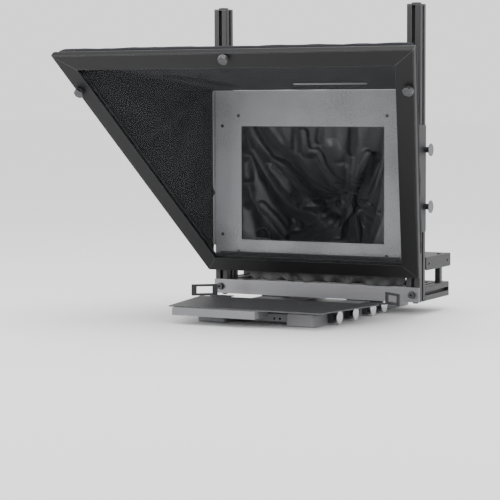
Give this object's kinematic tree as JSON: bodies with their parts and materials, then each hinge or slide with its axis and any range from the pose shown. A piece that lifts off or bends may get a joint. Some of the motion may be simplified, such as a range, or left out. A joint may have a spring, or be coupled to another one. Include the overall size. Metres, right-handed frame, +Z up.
{
  "type": "teleprompter",
  "caption": "Camera-mount teleprompter: tilted glass in a trapezoid frame, black cloth hood, grey window panel on two slotted posts, monitor tray and base rails.",
  "frame": {"origin": "mouth of the middle tripod thread, on the underside of the base, in the plane of the two posts", "axes": "+Z up, -Y towards the reader (the way the glass faces), +X to the right as seen by the reader looking at the unit from the front"},
  "size_m": [0.772, 0.5991, 0.631],
  "materials": {
    "painted_profile": "satin black anodised T-slot profile",
    "painted_plate": "black powder coat, fine texture",
    "grey_panel": "grey textured powder coat",
    "bare_bar": "brushed aluminium, clear anodised",
    "mirror_black": "matt black anodised frame",
    "steel_screw": "blackened steel fastener",
    "knob": "turned knob, dark anodised",
    "plastic": "black moulded plastic",
    "glass": "beam-splitter glass, clear",
    "seal": "black foam rubber",
    "cloth": "black hood cloth"
  },
  "bodies": {
    "base": {"base_rail_left": "painted_plate", "base_rail_right": "painted_plate", "rail_end_caps": "plastic", "tripod_plate": "painted_plate", "front_tie": "bare_bar", "rail_saddles": "plastic", "cross_rail_front": "painted_profile", "cross_rail_rear": "painted_profile", "side_rail_left": "painted_profile", "side_rail_right": "painted_profile", "post_left": "painted_profile", "post_right": "painted_profile", "profile_caps": "plastic", "post_end_screws": "steel_screw", "crossbar": "bare_bar", "crossbar_screws": "steel_screw", "corner_brackets": "painted_plate", "frame_screws": "steel_screw", "profile_nuts": "steel_screw", "camera_plate": "painted_plate", "camera_plate_columns": "painted_plate", "camera_plate_screws": "steel_screw", "frame_clamp": "painted_plate"},
    "sled": {"camera_sled": "painted_plate"},
    "camera_screw_body": {"camera_screw": "steel_screw"},
    "sled_lock_body": {"sled_lock_knob": "plastic"},
    "hood": {"hood_panel": "grey_panel", "shroud_ring": "painted_plate", "panel_screws": "steel_screw", "carriage_left": "grey_panel", "carriage_right": "grey_panel", "slot_nuts": "steel_screw", "hinge_leaf_panel": "steel_screw", "hinge_pin": "steel_screw", "camera_shroud": "cloth", "hood_fabric": "cloth"},
    "mirror": {"hinge_leaf_mirror": "steel_screw", "mirror_frame_bottom": "mirror_black", "mirror_frame_top": "mirror_black", "mirror_frame_left": "mirror_black", "mirror_frame_right": "mirror_black", "mirror_glass": "glass", "glass_gasket": "seal", "glass_retainer": "painted_plate", "hood_rim": "painted_plate"},
    "tray": {"tray": "painted_plate", "tray_loops": "painted_plate", "tray_box": "bare_bar", "tray_runners": "plastic"},
    "knob_carriage_left_lower": {"carriage_knob_left_lower": "knob"},
    "knob_carriage_left_upper": {"carriage_knob_left_upper": "knob"},
    "knob_carriage_right_lower": {"carriage_knob_right_lower": "knob"},
    "knob_carriage_right_upper": {"carriage_knob_right_upper": "knob"},
    "thumb_top": {"frame_thumbscrew_top": "knob"},
    "thumb_left": {"frame_thumbscrew_left": "knob"},
    "thumb_right": {"frame_thumbscrew_right": "knob"},
    "turn_tray_knob_front": {"tray_knob_front": "knob"},
    "turn_tray_knob_rear": {"tray_knob_rear": "knob"},
    "turn_frame_knob_front": {"frame_knob_front": "knob"},
    "turn_frame_knob_rear": {"frame_knob_rear": "knob"}
  },
  "joints": [
    {"name": "hood_height", "type": "slide", "parent": "base", "child": "hood", "axis": [0, 0, 1], "range_m": [-0.012, 0.2]},
    {"name": "mirror_fold", "type": "hinge", "parent": "hood", "child": "mirror", "pos_m": [0, -0.0335, 0.109], "axis": [-1, 0, 0], "range_deg": [0, 35], "deforming": ["hood_fabric"]},
    {"name": "tray_slide", "type": "slide", "parent": "base", "child": "tray", "axis": [0, 1, 0], "range_m": [-0.05, 0.005]},
    {"name": "sled_slide", "type": "slide", "parent": "base", "child": "sled", "axis": [0, 1, 0], "range_m": [0, 0.03]},
    {"name": "camera_screw_turn", "type": "hinge", "parent": "sled", "child": "camera_screw_body", "pos_m": [0, 0.062, 0.12], "axis": [0, 0, 1], "continuous": true},
    {"name": "sled_lock_turn", "type": "hinge", "parent": "sled", "child": "sled_lock_body", "pos_m": [0.025, 0.076, 0.12], "axis": [0, 0, 1], "continuous": true},
    {"name": "carriage_knob_left_lower_turn", "type": "hinge", "parent": "hood", "child": "knob_carriage_left_lower", "pos_m": [-0.2383, 0, 0.2215], "axis": [-1, 0, 0], "continuous": true},
    {"name": "carriage_knob_left_upper_turn", "type": "hinge", "parent": "hood", "child": "knob_carriage_left_upper", "pos_m": [-0.2383, 0, 0.336], "axis": [-1, 0, 0], "continuous": true},
    {"name": "carriage_knob_right_lower_turn", "type": "hinge", "parent": "hood", "child": "knob_carriage_right_lower", "pos_m": [0.2383, 0, 0.2215], "axis": [1, 0, 0], "continuous": true},
    {"name": "carriage_knob_right_upper_turn", "type": "hinge", "parent": "hood", "child": "knob_carriage_right_upper", "pos_m": [0.2383, 0, 0.336], "axis": [1, 0, 0], "continuous": true},
    {"name": "thumbscrew_top_turn", "type": "hinge", "parent": "mirror", "child": "thumb_top", "pos_m": [0, -0.40235, 0.51747], "axis": [0, -0.766, -0.6428], "continuous": true},
    {"name": "thumbscrew_left_turn", "type": "hinge", "parent": "mirror", "child": "thumb_left", "pos_m": [-0.3536, -0.35157, 0.45695], "axis": [0, -0.766, -0.6428], "continuous": true},
    {"name": "thumbscrew_right_turn", "type": "hinge", "parent": "mirror", "child": "thumb_right", "pos_m": [0.3536, -0.35157, 0.45695], "axis": [0, -0.766, -0.6428], "continuous": true},
    {"name": "tray_knob_front_turn", "type": "hinge", "parent": "tray", "child": "turn_tray_knob_front", "pos_m": [0.1393, -0.2127, 0.0145], "axis": [1, 0, 0], "continuous": true},
    {"name": "tray_knob_rear_turn", "type": "hinge", "parent": "tray", "child": "turn_tray_knob_rear", "pos_m": [0.1393, -0.1372, 0.0145], "axis": [1, 0, 0], "continuous": true},
    {"name": "frame_knob_front_turn", "type": "hinge", "parent": "base", "child": "turn_frame_knob_front", "pos_m": [0.1393, -0.0515, 0.0145], "axis": [1, 0, 0], "continuous": true},
    {"name": "frame_knob_rear_turn", "type": "hinge", "parent": "base", "child": "turn_frame_knob_rear", "pos_m": [0.1393, 0.004, 0.0145], "axis": [1, 0, 0], "continuous": true}
  ]
}
